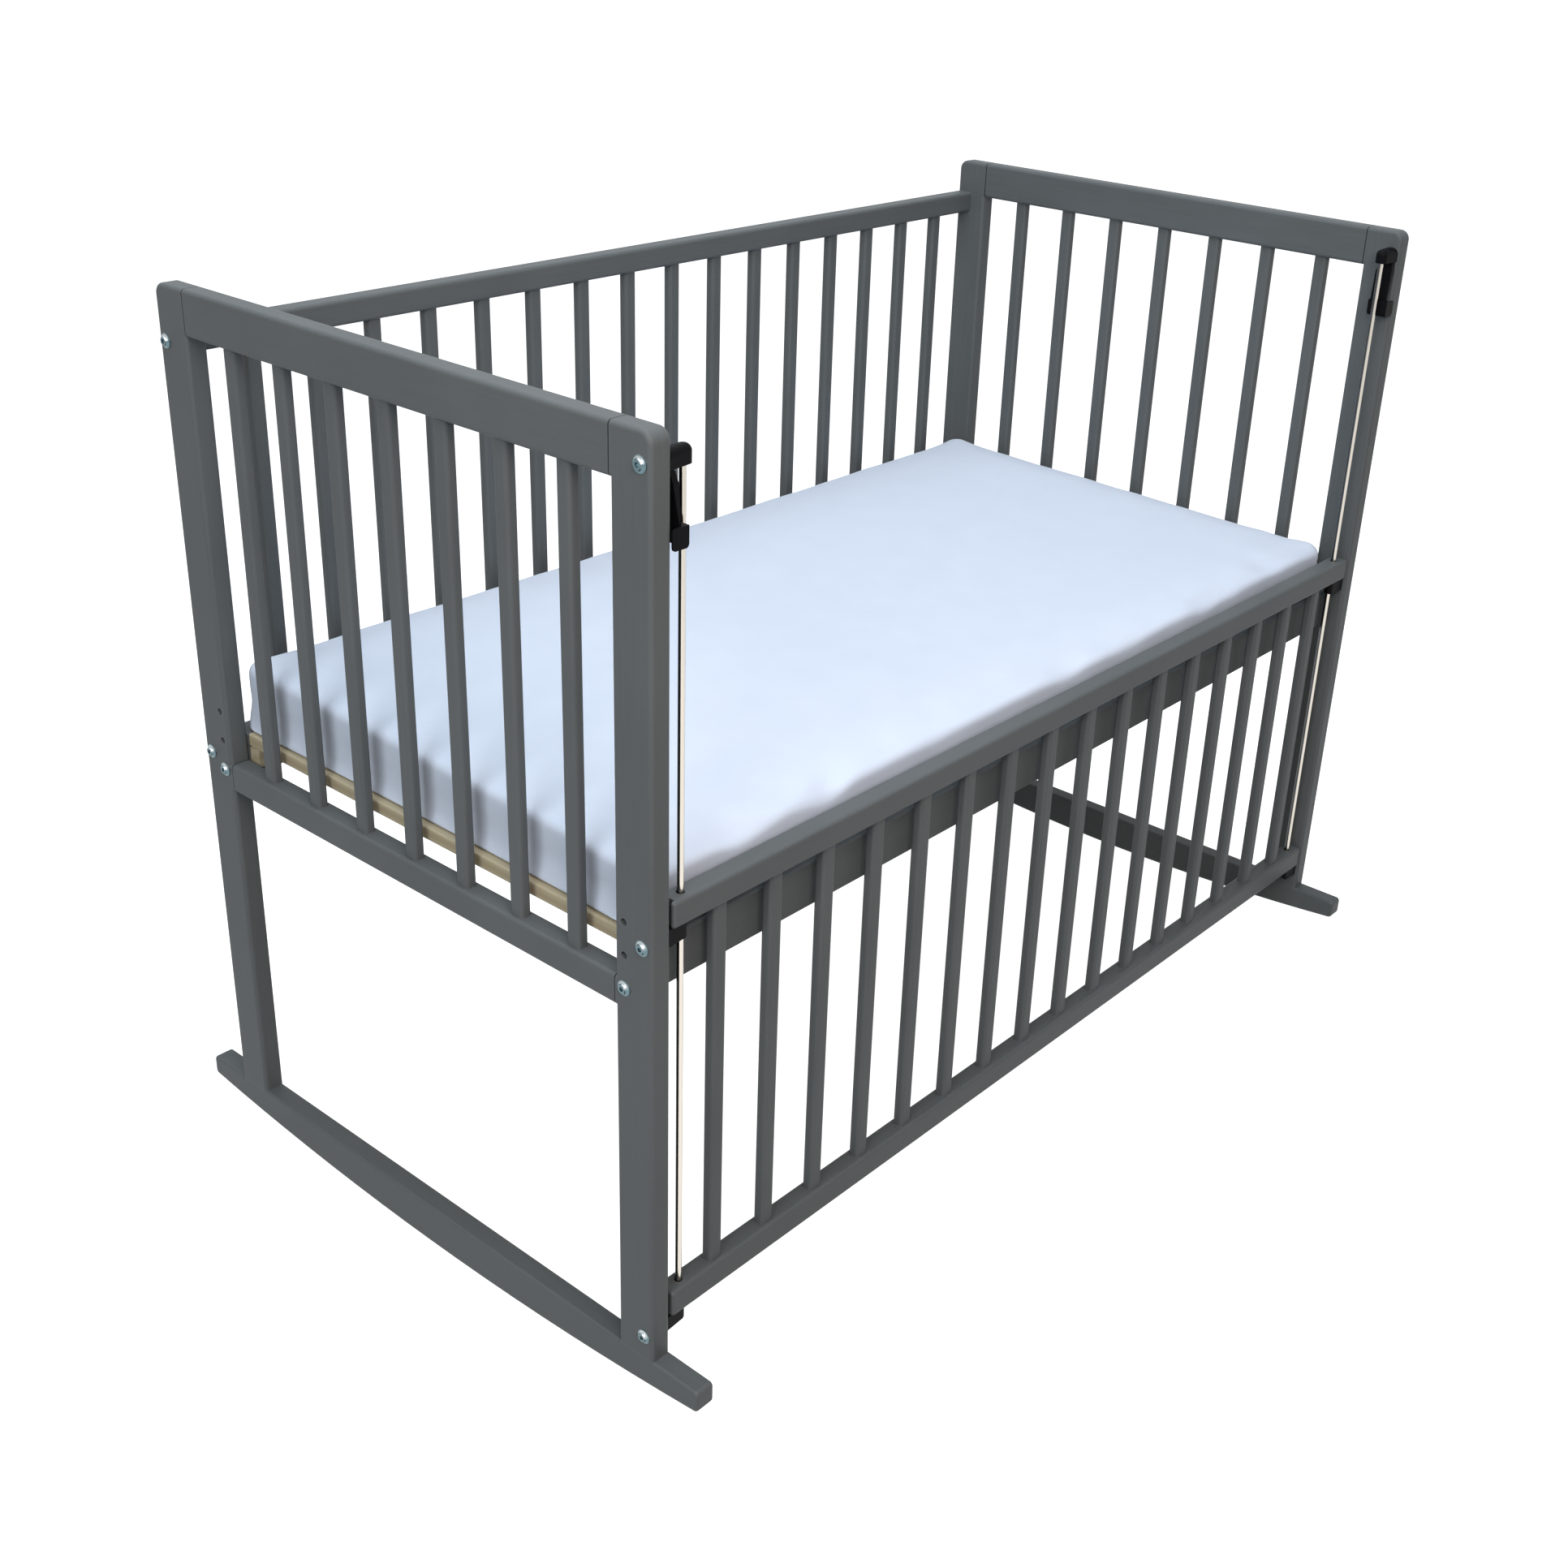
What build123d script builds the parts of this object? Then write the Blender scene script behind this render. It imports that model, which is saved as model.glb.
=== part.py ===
from build123d import *
from math import cos, radians, sin, sqrt
import os

# A bedside cot of painted timber on rockers. One long side slides down on two steel guide
# rods, so that the cot opens towards a bed. The base bolts to the posts at three heights.
# X runs along the cot, the drop side faces -Y, and Z is up. The origin lies on the floor,
# under the middle of the cot. All lengths are in millimetres.

# Sizes over all
length = 1244
width = 648
total_height = 926

# Timber of the two end frames, the drop side and the back panel
timber = 22
post_width = 44
post_edge_round = 4
post_top_round = 11
rail_edge_round = 4
rail_end_round = 3

# Rockers
rocker_depth = 46
rocker_end_depth = 23
rocker_overhang = 57
rocker_edge_round = 3
rocker_tip_round = 5

# End frames
end_top_rail_height = 44
end_bottom_rail_height = 30
end_bottom_rail_top = 447
end_slat_count = 7
end_slat_from_post = 58

# Slats of all four sides, and the stub tenons that hold them in their rails
slat_width = 16.5
slat_depth = 12
slat_corner_round = 4
tenon_width = 9
tenon_depth = 6
tenon_length = 10
tenon_clearance = 0.2

# Back panel
back_top_rail_height = 26
back_top_rail_drop = 40
back_bottom_rail_height = 30
back_bottom_rail_top = 467
long_slat_count = 16
long_slat_from_post = 66

# Drop side, drawn in its lowered place
drop_end_gap = 4
drop_top_rail_height = 26
drop_top_rail_top = 523
drop_bottom_rail_height = 28
drop_bottom_rail_top = 111
rod_hole_radius = 4
catch_rebate_depth = 4
catch_rebate_lip = 4

# Guide rods and their plastic brackets
rod_radius = 3
rod_from_post = 22
rod_clearance = 0.1
rod_socket_depth = 10
bracket_nose_radius = 7
bracket_width = 18
bracket_arch_round = 8
bracket_brow_round = 6
bracket_soft_corner = 1.5
top_bracket_height = 15.5
top_bracket_drop = 18.5
stop_width = 14
stop_nose_radius = 5.5
middle_stop_height = 16.5
middle_bolt_up = 7
bottom_bracket_height = 15
bottom_bracket_gap = 1
bottom_bolt_up = 5
bottom_chin_round = 6
rest_clearance = 0.3

# Spring catches: a leaf that bends out from the top bracket, and at its lower end a pad
# with a ledge on top
catch_axis_from_post = 2.1
catch_axis_up = 2
catch_bead_radius = 1.8
catch_pocket_depth = 4.1
catch_pocket_reach = 4.8
catch_pocket_clearance = 0.3
catch_thickness = 3
catch_leaf_width = 14
catch_root_reach = 6.8
catch_root_drop = 1.5
catch_knee_reach = 9.4
catch_knee_drop = 12
catch_leaf_reach = 11.8
catch_leaf_tip = 1.4
catch_leaf_inset = 2
catch_ledge_drop = 44.5
catch_reach = 16.6
catch_pad_height = 18
catch_pad_chamfer = 2
catch_lip_thickness = 1.5
catch_lip_overlap = 1
catch_lip_gap = 0.4
catch_lip_round = 3.5

# Bed base, bolted here at the lowest of its three heights
base_level = 439
base_hole_pitch = 32
base_hole_count = 3
base_bolt_up = 11
base_board_height = 46
base_board_thickness = 20
base_board_gap = 1
base_board_round = 2
end_bar_thickness = 14
end_bar_width = 40
end_bar_gap = 2
end_bar_dowel_spread = 20
base_slat_count = 11
base_slat_width = 60
base_slat_thickness = 14
base_slat_round = 2
ledger_height = 20
ledger_thickness = 15
base_clearance = 0.5

# Mattress
mattress_end_gap = 2
mattress_side_gap = 2
mattress_edge_height = 60
mattress_crown = 4
mattress_corner_radius = 22
mattress_drawn_in = 3
mattress_edge_round = 9
mattress_crown_inset = 110
mattress_edge_steps = 3
mattress_crown_steps = 3

# Bolts, nuts, dowels and screws
bolt_radius = 3
bolt_hole_radius = 3.5
bolt_thread_clearance = 0.05
bolt_head_radius = 7.25
bolt_head_height = 3.6
bolt_head_rim = 0.8
bolt_head_flat_radius = 4
bolt_socket_radius = 2.3
bolt_socket_depth = 2.4
bracket_bolt_grip = 12
nut_radius = 5
nut_length = 14
nut_clearance = 0.1
nut_from_end = 35
bolt_past_nut = 3
dowel_radius = 3
dowel_length = 36
dowel_clearance = 0.1
base_dowel_length = 30
base_dowel_in_board = 12
screw_radius = 2
screw_head_radius = 4
screw_length = 28
screw_count = 5
overrun = 5

# Places that the sizes give
end_x = length / 2
inner_x = end_x - timber
end_mid_x = end_x - timber / 2
front_y = -width / 2
back_y = width / 2
front_mid_y = front_y + timber / 2
back_mid_y = back_y - timber / 2
post_height = total_height - rocker_depth
rod_x = inner_x - rod_from_post
inner_length = length - 2 * timber
end_rail_length = width - 2 * post_width
end_slat_pitch = (end_rail_length - 2 * end_slat_from_post) / (end_slat_count - 1)
long_slat_pitch = (inner_length - 2 * long_slat_from_post) / (long_slat_count - 1)
mattress_length = inner_length - 2 * mattress_end_gap
mattress_width = width - 2 * timber - 2 * mattress_side_gap
back_top_rail_top = total_height - back_top_rail_drop
end_top_rail_bottom = total_height - end_top_rail_height
end_bottom_rail_bottom = end_bottom_rail_top - end_bottom_rail_height
end_rail_levels = (
    (end_top_rail_bottom, end_top_rail_height),
    (end_bottom_rail_bottom, end_bottom_rail_height),
)
back_top_rail_bottom = back_top_rail_top - back_top_rail_height
back_bottom_rail_bottom = back_bottom_rail_top - back_bottom_rail_height
drop_rail_length = inner_length - 2 * drop_end_gap
drop_top_rail_bottom = drop_top_rail_top - drop_top_rail_height
drop_bottom_rail_bottom = drop_bottom_rail_top - drop_bottom_rail_height
top_bracket_top = total_height - top_bracket_drop
top_bracket_bottom = top_bracket_top - top_bracket_height
middle_stop_top = drop_top_rail_bottom - rest_clearance
middle_stop_bottom = middle_stop_top - middle_stop_height
bottom_bracket_top = drop_bottom_rail_bottom - bottom_bracket_gap
bottom_bracket_bottom = bottom_bracket_top - bottom_bracket_height
base_board_bottom = base_level - base_bolt_up
base_board_top = base_board_bottom + base_board_height
front_board_y = front_y + timber + base_board_gap + base_board_thickness / 2
back_board_y = -front_board_y
base_inner_width = back_board_y - front_board_y - base_board_thickness
base_slat_bottom = base_board_top - base_slat_thickness
nut_x = inner_x - nut_from_end
long_bolt_length = timber + nut_from_end + nut_radius + bolt_past_nut


# Evenly spaced values about zero
def row(count, pitch):
    return [(step - (count - 1) / 2) * pitch for step in range(count)]


bracket_bolt_heights = [
    (top_bracket_top + top_bracket_bottom) / 2,
    middle_stop_bottom + middle_bolt_up,
    bottom_bracket_bottom + bottom_bolt_up,
]
back_bolt_heights = [
    (back_top_rail_top + back_top_rail_bottom) / 2,
    (back_bottom_rail_top + back_bottom_rail_bottom) / 2,
]
base_hole_heights = [base_level + base_hole_pitch * step for step in range(base_hole_count)]
end_dowel_heights = [
    total_height - end_top_rail_height / 4,
    end_top_rail_bottom + end_top_rail_height / 4,
    end_bottom_rail_bottom + end_bottom_rail_height / 4,
]
foot_dowel_ys = [
    side * (width / 2 - post_width / 2) + way * post_width / 4
    for side in (-1, 1)
    for way in (-1, 1)
]
end_bar_x = inner_x - end_bar_gap - end_bar_width / 2
end_bar_z = base_board_top - end_bar_thickness / 2
end_slat_places = [(-end_mid_x, y) for y in row(end_slat_count, end_slat_pitch)]
drop_slat_places = [(x, front_mid_y) for x in row(long_slat_count, long_slat_pitch)]
back_slat_places = [(x, back_mid_y) for x in row(long_slat_count, long_slat_pitch)]

os.makedirs("parts", exist_ok=True)


# Round holes cut from a plane, at places in the plane's own axes. A negative depth cuts
# against the plane's normal
def round_holes(plane, places, radius, depth):
    with BuildSketch(plane) as holes:
        with Locations(places):
            Circle(radius)
    extrude(holes.sketch, amount=depth, mode=Mode.SUBTRACT)


# Pockets for the stub tenons of a row of slats, cut up or down from a rail's face
def tenon_pockets(places, pocket_x, pocket_y, face_z, way):
    with BuildSketch(Plane.XY.offset(face_z)) as pockets:
        with Locations(places):
            Rectangle(pocket_x + 2 * tenon_clearance, pocket_y + 2 * tenon_clearance)
    depth = tenon_length + tenon_clearance
    extrude(pockets.sketch, amount=way * depth, mode=Mode.SUBTRACT)


# A row of slats between two rails, each with a stub tenon at both ends
def slat_row(places, size_x, size_y, tenon_x, tenon_y, bottom, top):
    with BuildSketch(Plane.XY.offset(bottom)) as sections:
        with Locations(places):
            RectangleRounded(size_x, size_y, slat_corner_round)
    extrude(sections.sketch, amount=top - bottom)
    with BuildSketch(Plane.XY.offset(bottom - tenon_length)) as tenons:
        with Locations(places):
            Rectangle(tenon_x, tenon_y)
    extrude(tenons.sketch, amount=top - bottom + 2 * tenon_length)


# Posts: boards on edge with rounded edges, the outer top corner rounded off. The rounding
# stops at the end rails, so that the joints are flush. Holes for the bolts run along X,
# blind dowel holes take the end rails and the rocker
def post_body(side, bolt_places):
    outer_y = side * width / 2
    mid_y = side * (width - post_width) / 2
    inner_y = side * (width / 2 - post_width)
    with BuildSketch(Plane.YZ.offset(-end_mid_x)) as outline:
        with Locations((mid_y, rocker_depth + post_height / 2)):
            Rectangle(post_width, post_height)
        fillet(outline.vertices().sort_by_distance((outer_y, total_height))[0], post_top_round)
    extrude(outline.sketch, amount=timber / 2, both=True)
    long_edges = faces().filter_by(Axis.X).edges()
    fillet(long_edges - long_edges.group_by(Axis.Z)[0], post_edge_round)
    for bottom, rail_height in end_rail_levels:
        with BuildSketch(Plane.XZ.offset(-inner_y)) as joint:
            with Locations((-end_mid_x, bottom + rail_height / 2)):
                RectangleRounded(timber, rail_height, rail_edge_round)
        extrude(joint.sketch, amount=-side * post_edge_round)
    round_holes(
        Plane.YZ.offset(-end_x - overrun), bolt_places, bolt_hole_radius, timber + 2 * overrun
    )
    round_holes(
        Plane.XZ.offset(-inner_y),
        [(-end_mid_x, height) for height in end_dowel_heights],
        dowel_radius + dowel_clearance,
        -side * (dowel_length / 2 + dowel_clearance),
    )
    round_holes(
        Plane.XY.offset(rocker_depth),
        [(-end_mid_x, y) for y in foot_dowel_ys if y * side > 0],
        dowel_radius + dowel_clearance,
        dowel_length / 2 + dowel_clearance,
    )


with BuildPart() as front_post:
    post_body(
        -1,
        [(front_mid_y, height) for height in bracket_bolt_heights]
        + [(front_board_y, height) for height in base_hole_heights],
    )

with BuildPart() as back_post:
    post_body(
        1,
        [(back_mid_y, height) for height in back_bolt_heights]
        + [(back_board_y, height) for height in base_hole_heights],
    )

# Rocker: a straight top under the posts, and one long arc that meets the floor. Its upper
# edges stay sharp under the posts
with BuildPart() as rocker:
    tip_y = width / 2 + rocker_overhang
    tip_z = rocker_depth - rocker_end_depth
    with BuildSketch(Plane.YZ.offset(-end_mid_x)):
        with BuildLine():
            ThreePointArc((-tip_y, tip_z), (0, 0), (tip_y, tip_z))
            Polyline(
                (tip_y, tip_z), (tip_y, rocker_depth), (-tip_y, rocker_depth), (-tip_y, tip_z)
            )
        make_face()
    extrude(amount=timber / 2, both=True)
    tips = edges().filter_by(Axis.X)
    fillet(tips, rocker_tip_round)
    fillet(faces().filter_by(Axis.X).edges(), rocker_edge_round)
    with BuildSketch(Plane.XY.offset(rocker_depth)):
        with Locations([(-end_mid_x, side * (width - post_width) / 2) for side in (-1, 1)]):
            RectangleRounded(timber, post_width, post_edge_round)
    extrude(amount=-rocker_edge_round)
    round_holes(
        Plane.XY.offset(rocker_depth),
        [(-end_mid_x, y) for y in foot_dowel_ys],
        dowel_radius + dowel_clearance,
        -dowel_length / 2 - dowel_clearance,
    )


# End rails with rounded edges, dowelled between the posts
def end_rail_body(bottom, rail_height, pocket_z, pocket_way):
    with BuildSketch(Plane.XZ) as section:
        with Locations((-end_mid_x, bottom + rail_height / 2)):
            RectangleRounded(timber, rail_height, rail_edge_round)
    extrude(section.sketch, amount=end_rail_length / 2, both=True)
    tenon_pockets(end_slat_places, tenon_depth, tenon_width, pocket_z, pocket_way)
    dowel_places = [
        (-end_mid_x, height)
        for height in end_dowel_heights
        if bottom < height < bottom + rail_height
    ]
    for side in (-1, 1):
        round_holes(
            Plane.XZ.offset(side * end_rail_length / 2),
            dowel_places,
            dowel_radius + dowel_clearance,
            -side * (dowel_length / 2 + dowel_clearance),
        )


with BuildPart() as end_top_rail:
    end_rail_body(end_top_rail_bottom, end_top_rail_height, end_top_rail_bottom, 1)

with BuildPart() as end_bottom_rail:
    end_rail_body(end_bottom_rail_bottom, end_bottom_rail_height, end_bottom_rail_top, -1)

# Slats of an end frame, their broad faces outwards
with BuildPart() as end_slats:
    slat_row(
        end_slat_places,
        slat_depth,
        slat_width,
        tenon_depth,
        tenon_width,
        end_bottom_rail_top,
        end_top_rail_bottom,
    )

# Dowels that hold an end frame together: along Y at the rails, upright at the rocker
with BuildPart() as end_dowels:
    with BuildSketch(Plane.XZ):
        with Locations([(-end_mid_x, height) for height in end_dowel_heights]):
            Circle(dowel_radius)
    joint_y = end_rail_length / 2
    extrude(amount=joint_y + dowel_length / 2, both=True)
    with BuildSketch(Plane.XZ):
        with Locations([(-end_mid_x, height) for height in end_dowel_heights]):
            Circle(dowel_radius + dowel_clearance)
    extrude(amount=joint_y - dowel_length / 2, both=True, mode=Mode.SUBTRACT)
    with BuildSketch(Plane.XY.offset(rocker_depth)):
        with Locations([(-end_mid_x, y) for y in foot_dowel_ys]):
            Circle(dowel_radius)
    extrude(amount=dowel_length / 2, both=True)

# Guide rod, held in the top and bottom brackets
with BuildPart() as guide_rod:
    rod_bottom = bottom_bracket_top - rod_socket_depth + rod_clearance
    rod_top = top_bracket_bottom + rod_socket_depth - rod_clearance
    with BuildSketch(Plane.XY.offset(rod_bottom)):
        with Locations((-rod_x, front_mid_y)):
            Circle(rod_radius)
    extrude(amount=rod_top - rod_bottom)


# A plastic bracket seen from three sides: in plan it runs from the post to a round nose
# about the rod, from the front its brow and chin are rounded, and along the cot it may
# have an arched top
def bracket_body(bottom, top, body_width, nose_radius, brow, chin, arch_round, bolt_height):
    with BuildSketch(Plane.XY.offset(bottom)) as plan:
        with BuildLine():
            Line(
                (-inner_x, front_mid_y - body_width / 2), (-inner_x, front_mid_y + body_width / 2)
            )
            CenterArc((-rod_x, front_mid_y), nose_radius, 0, 360)
        make_hull()
    extrude(plan.sketch, amount=top - bottom)
    nose_x = nose_radius - rod_x
    with BuildSketch(Plane.XZ.offset(-front_mid_y)) as side_view:
        with Locations(((nose_x - inner_x) / 2, (top + bottom) / 2)):
            Rectangle(nose_x + inner_x, top - bottom)
        nose_corners = side_view.vertices().group_by(Axis.X)[-1].sort_by(Axis.Y)
        fillet(nose_corners[0], chin)
        fillet(nose_corners[1], brow)
    extrude(side_view.sketch, amount=body_width, both=True, mode=Mode.INTERSECT)
    if arch_round:
        with BuildSketch(Plane.YZ.offset(-inner_x)) as arch:
            with Locations((front_mid_y, bottom)):
                RectangleRounded(body_width, 2 * (top - bottom), arch_round)
        extrude(arch.sketch, amount=nose_x + inner_x + overrun, mode=Mode.INTERSECT)
    round_holes(
        Plane.YZ.offset(-inner_x),
        [(front_mid_y, bolt_height)],
        bolt_radius + bolt_thread_clearance,
        bracket_bolt_grip + rod_clearance,
    )


# Top bracket, with the rod's socket and the pocket for the catch's bead in its underside
with BuildPart() as top_bracket:
    bracket_body(
        top_bracket_bottom,
        top_bracket_top,
        bracket_width,
        bracket_nose_radius,
        bracket_brow_round,
        bracket_soft_corner,
        bracket_arch_round,
        bracket_bolt_heights[0],
    )
    round_holes(
        Plane.XY.offset(top_bracket_bottom),
        [(-rod_x, front_mid_y)],
        rod_radius + rod_clearance,
        rod_socket_depth,
    )
    with BuildSketch(Plane.XY.offset(top_bracket_bottom)):
        with Locations((catch_pocket_reach / 2 - inner_x, front_mid_y)):
            Rectangle(catch_pocket_reach, catch_leaf_width + 2 * catch_pocket_clearance)
    extrude(amount=catch_pocket_depth, mode=Mode.SUBTRACT)

# Middle stop, on which the lowered top rail rests
with BuildPart() as middle_stop:
    bracket_body(
        middle_stop_bottom,
        middle_stop_top,
        stop_width,
        stop_nose_radius,
        bracket_soft_corner,
        bracket_soft_corner,
        0,
        bracket_bolt_heights[1],
    )
    round_holes(
        Plane.XY.offset(middle_stop_bottom),
        [(-rod_x, front_mid_y)],
        rod_radius + rod_clearance,
        middle_stop_height,
    )

# Bottom bracket, with the rod's socket in its top
with BuildPart() as bottom_bracket:
    bracket_body(
        bottom_bracket_bottom,
        bottom_bracket_top,
        stop_width,
        stop_nose_radius,
        bracket_soft_corner,
        bottom_chin_round,
        0,
        bracket_bolt_heights[2],
    )
    round_holes(
        Plane.XY.offset(bottom_bracket_top),
        [(-rod_x, front_mid_y)],
        rod_radius + rod_clearance,
        -rod_socket_depth,
    )

# Spring catch: a bead in the bracket's pocket, a leaf that bends out and widens, and a pad
# whose ledge carries the raised rail. A lip in front of the post is the finger press
with BuildPart() as catch:
    ledge_z = top_bracket_bottom - catch_ledge_drop
    pad_bottom = ledge_z - catch_pad_height
    axis_x = catch_axis_from_post - inner_x
    axis_z = top_bracket_bottom + catch_axis_up
    knee_z = top_bracket_bottom - catch_knee_drop
    leaf_x = catch_leaf_reach - inner_x
    pad_x = catch_reach - inner_x
    pad_front_y = front_y - catch_lip_gap - catch_lip_thickness
    with BuildSketch(Plane.XZ.offset(-front_mid_y)):
        with BuildLine():
            Polyline(
                (axis_x - catch_thickness / 2, axis_z),
                (axis_x + catch_thickness / 2, axis_z),
                (axis_x + catch_thickness / 2, top_bracket_bottom),
                (catch_root_reach - inner_x, top_bracket_bottom - catch_root_drop),
                (catch_knee_reach - inner_x, knee_z),
                (leaf_x, ledge_z),
                (pad_x, ledge_z),
                (pad_x, pad_bottom + 2 * catch_pad_chamfer),
                (pad_x - catch_pad_chamfer, pad_bottom),
                (pad_x - catch_thickness, pad_bottom),
                (pad_x - catch_thickness, ledge_z - catch_thickness),
                (leaf_x - catch_leaf_tip, ledge_z - catch_thickness),
                close=True,
            )
        make_face()
        with Locations((axis_x, axis_z)):
            Circle(catch_bead_radius)
    extrude(amount=timber, both=True)
    with BuildSketch(Plane.YZ.offset(-inner_x)):
        with BuildLine():
            Polyline(
                (front_mid_y - catch_leaf_width / 2, top_bracket_top),
                (front_mid_y + catch_leaf_width / 2, top_bracket_top),
                (front_mid_y + catch_leaf_width / 2, top_bracket_bottom),
                (front_y + timber, knee_z),
                (front_y + timber, pad_bottom),
                (pad_front_y, pad_bottom),
                (pad_front_y, ledge_z),
                (front_y + catch_leaf_inset, ledge_z),
                (front_y + catch_leaf_inset, knee_z),
                (front_mid_y - catch_leaf_width / 2, top_bracket_bottom),
                close=True,
            )
        make_face()
    extrude(amount=catch_reach + overrun, mode=Mode.INTERSECT)
    lip_width = catch_reach + catch_lip_overlap
    with BuildSketch(Plane.XZ.offset(-pad_front_y)):
        with Locations((pad_x - lip_width / 2, (ledge_z + pad_bottom) / 2)):
            RectangleRounded(lip_width, catch_pad_height, catch_lip_round)
    extrude(amount=-catch_lip_thickness)


# A button-head bolt along X: its head lies outside zero, its shank runs to positive X
def make_bolt(shank_length):
    with BuildPart() as bolt:
        with BuildSketch(Plane.XY):
            with BuildLine():
                SagittaArc(
                    (-bolt_head_height, bolt_head_flat_radius),
                    (-bolt_head_rim, bolt_head_radius),
                    -bolt_head_rim,
                )
                Polyline(
                    (-bolt_head_rim, bolt_head_radius),
                    (0, bolt_head_radius),
                    (0, bolt_radius),
                    (shank_length, bolt_radius),
                    (shank_length, 0),
                    (-bolt_head_height, 0),
                    (-bolt_head_height, bolt_head_flat_radius),
                )
            make_face()
        revolve(axis=Axis.X)
        with BuildSketch(Plane.YZ.offset(-bolt_head_height)):
            RegularPolygon(bolt_socket_radius, 6)
        extrude(amount=bolt_socket_depth, mode=Mode.SUBTRACT)
    return bolt.part


# Bolts of the three brackets, through the front post
with BuildPart() as bracket_bolts:
    bracket_bolt = make_bolt(timber + bracket_bolt_grip)
    with Locations([(-end_x, front_mid_y, height) for height in bracket_bolt_heights]):
        add(bracket_bolt)

# Bolts of the back panel and of the base, into cross nuts
with BuildPart() as panel_bolts:
    long_bolt = make_bolt(long_bolt_length)
    with Locations([(-end_x, back_mid_y, height) for height in back_bolt_heights]):
        add(long_bolt)

with BuildPart() as base_bolts:
    with Locations([(-end_x, y, base_level) for y in (front_board_y, back_board_y)]):
        add(long_bolt)


# Cross nuts: short steel rods with a threaded cross hole for the bolt
def cross_nuts(places):
    for y, height in places:
        with BuildSketch(Plane.XZ.offset(-y)) as section:
            with Locations((-nut_x, height)):
                Circle(nut_radius)
        extrude(section.sketch, amount=nut_length / 2, both=True)
    round_holes(
        Plane.YZ.offset(-nut_x - nut_radius),
        places,
        bolt_radius + bolt_thread_clearance,
        2 * nut_radius,
    )


with BuildPart() as panel_nuts:
    cross_nuts([(back_mid_y, height) for height in back_bolt_heights])

with BuildPart() as base_nuts:
    cross_nuts([(y, base_level) for y in (front_board_y, back_board_y)])

# The right end is the mirror image of the left one
end_pieces = {
    "front_post": front_post,
    "back_post": back_post,
    "rocker": rocker,
    "top_rail": end_top_rail,
    "bottom_rail": end_bottom_rail,
    "end_slats": end_slats,
    "end_dowels": end_dowels,
    "guide_rod": guide_rod,
    "top_bracket": top_bracket,
    "middle_stop": middle_stop,
    "bottom_bracket": bottom_bracket,
    "catch": catch,
    "bracket_bolts": bracket_bolts,
    "panel_bolts": panel_bolts,
    "base_bolts": base_bolts,
    "panel_nuts": panel_nuts,
    "base_nuts": base_nuts,
}
for name, left in end_pieces.items():
    left.part.label = f"left_{name}"
    export_step(left.part, f"parts/left_{name}.step")
    with BuildPart() as right:
        mirror(left.part, about=Plane.YZ)
    right.part.label = f"right_{name}"
    export_step(right.part, f"parts/right_{name}.step")


# A bar along the cot with rounded edges
def long_bar(bar_length, y, bottom, thickness, bar_height, edge_round):
    with BuildSketch(Plane.YZ) as section:
        with Locations((y, bottom + bar_height / 2)):
            RectangleRounded(thickness, bar_height, edge_round)
    extrude(section.sketch, amount=bar_length / 2, both=True)


# The bolt channel and the cross nut's hole at both ends of a bar along the cot
def cross_nut_holes(y, thickness, height):
    for side in (-1, 1):
        round_holes(
            Plane.YZ.offset(side * inner_x),
            [(y, height)],
            bolt_hole_radius,
            -side * (nut_from_end + nut_radius + 2 * bolt_past_nut),
        )
    round_holes(
        Plane.XZ.offset(-y - thickness / 2),
        [(-nut_x, height), (nut_x, height)],
        nut_radius + nut_clearance,
        (thickness + nut_length) / 2 + nut_clearance,
    )


# Back panel: two rails bolted between the back posts, and their slats
with BuildPart() as back_top_rail:
    long_bar(
        inner_length,
        back_mid_y,
        back_top_rail_bottom,
        timber,
        back_top_rail_height,
        rail_edge_round,
    )
    cross_nut_holes(back_mid_y, timber, back_bolt_heights[0])
    tenon_pockets(back_slat_places, tenon_width, tenon_depth, back_top_rail_bottom, 1)
back_top_rail.part.label = "back_top_rail"
export_step(back_top_rail.part, "parts/back_top_rail.step")

with BuildPart() as back_bottom_rail:
    long_bar(
        inner_length,
        back_mid_y,
        back_bottom_rail_bottom,
        timber,
        back_bottom_rail_height,
        rail_edge_round,
    )
    cross_nut_holes(back_mid_y, timber, back_bolt_heights[1])
    tenon_pockets(back_slat_places, tenon_width, tenon_depth, back_bottom_rail_top, -1)
back_bottom_rail.part.label = "back_bottom_rail"
export_step(back_bottom_rail.part, "parts/back_bottom_rail.step")

with BuildPart() as back_slats:
    slat_row(
        back_slat_places,
        slat_width,
        slat_depth,
        tenon_width,
        tenon_depth,
        back_bottom_rail_top,
        back_top_rail_bottom,
    )
back_slats.part.label = "back_slats"
export_step(back_slats.part, "parts/back_slats.step")

# Drop side: both rails have rounded ends. The top rail's ends are rebated behind a front
# lip, so that the pressed catch passes them
with BuildPart() as drop_top_rail:
    long_bar(
        drop_rail_length,
        front_mid_y,
        drop_top_rail_bottom,
        timber,
        drop_top_rail_height,
        rail_edge_round,
    )
    fillet(faces().filter_by(Axis.X).edges(), rail_end_round)
    tenon_pockets(drop_slat_places, tenon_width, tenon_depth, drop_top_rail_bottom, 1)
    round_holes(
        Plane.XY.offset(drop_top_rail_bottom),
        [(-rod_x, front_mid_y), (rod_x, front_mid_y)],
        rod_hole_radius,
        drop_top_rail_height,
    )
    rebate_width = timber - catch_rebate_lip + overrun
    rebate_y = front_y + catch_rebate_lip + rebate_width / 2
    with BuildSketch(Plane.XY.offset(drop_top_rail_bottom)):
        with Locations([(side * drop_rail_length / 2, rebate_y) for side in (-1, 1)]):
            Rectangle(2 * catch_rebate_depth, rebate_width)
    extrude(amount=drop_top_rail_height, mode=Mode.SUBTRACT)
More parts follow.
